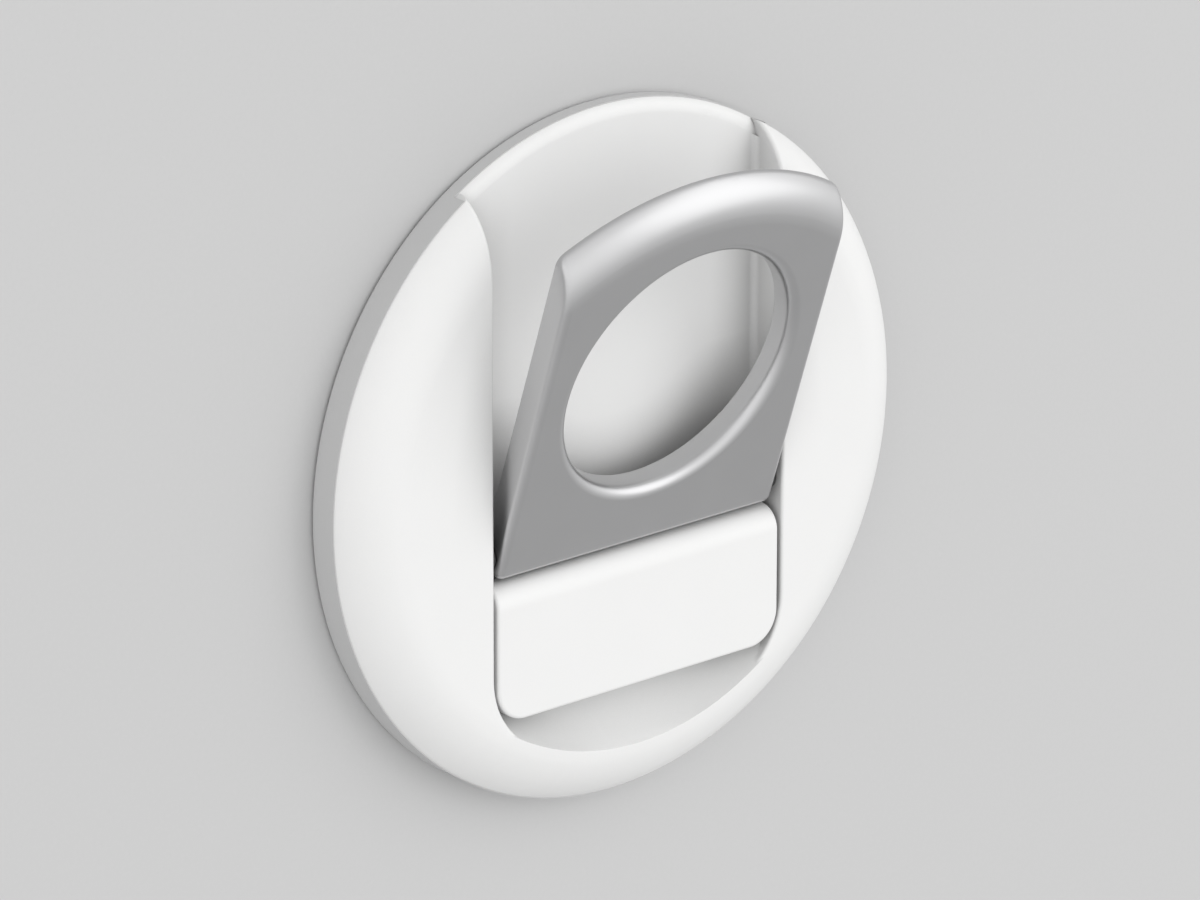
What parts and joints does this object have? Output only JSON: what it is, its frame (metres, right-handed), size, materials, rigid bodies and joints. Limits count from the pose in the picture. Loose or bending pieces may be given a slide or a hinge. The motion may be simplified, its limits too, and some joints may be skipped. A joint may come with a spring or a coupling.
{
  "type": "laptop phone mount",
  "caption": "Round magnetic phone mount with a tilting finger ring and a fold-out clip that hooks over the top edge of a laptop lid.",
  "frame": {"origin": "centre of the round contact face on the back, which the part lies on", "axes": "+Z out of the front face, +X right and +Y up across it, with the finger ring's free end towards +Y"},
  "size_m": [0.0608, 0.0608, 0.0162],
  "materials": {
    "shell_plastic": "fine satin white",
    "base_plastic": "satin light grey",
    "contact_rubber": "soft matt pale grey",
    "clip_rubber": "soft matt grey",
    "ring_aluminium": "bead-blasted, anodised",
    "magnet_plating": "nickel plated",
    "plain_steel": "turned",
    "bush_brass": "turned",
    "washer_plastic": "moulded dark grey"
  },
  "bodies": {
    "mount_body": {"front_shell": "shell_plastic", "rear_base": "base_plastic", "contact_pad": "contact_rubber", "ring_magnets": "magnet_plating", "magnet_yoke": "plain_steel", "case_screws": "plain_steel", "ring_bush_left": "bush_brass", "ring_bush_right": "bush_brass", "ring_spring_left": "plain_steel", "ring_spring_right": "plain_steel", "clip_bush_left": "bush_brass", "clip_bush_right": "bush_brass", "clip_spring_left": "plain_steel", "clip_spring_right": "plain_steel"},
    "ring_body": {"finger_ring": "ring_aluminium", "ring_pin_left": "plain_steel", "ring_pin_right": "plain_steel", "ring_washer_left": "washer_plastic", "ring_washer_right": "washer_plastic"},
    "clip_body": {"clip_lip": "shell_plastic", "clip_pad": "clip_rubber", "clip_pin_left": "plain_steel", "clip_pin_right": "plain_steel"}
  },
  "joints": [
    {"name": "ring_hinge", "type": "hinge", "parent": "mount_body", "child": "ring_body", "pos_m": [0, -0.0053, 0.0042], "axis": [1, 0, 0], "range_deg": [-19, 71]},
    {"name": "clip_hinge", "type": "hinge", "parent": "mount_body", "child": "clip_body", "pos_m": [0, -0.00982, 0.0042], "axis": [-1, 0, 0], "range_deg": [0, 90]}
  ]
}
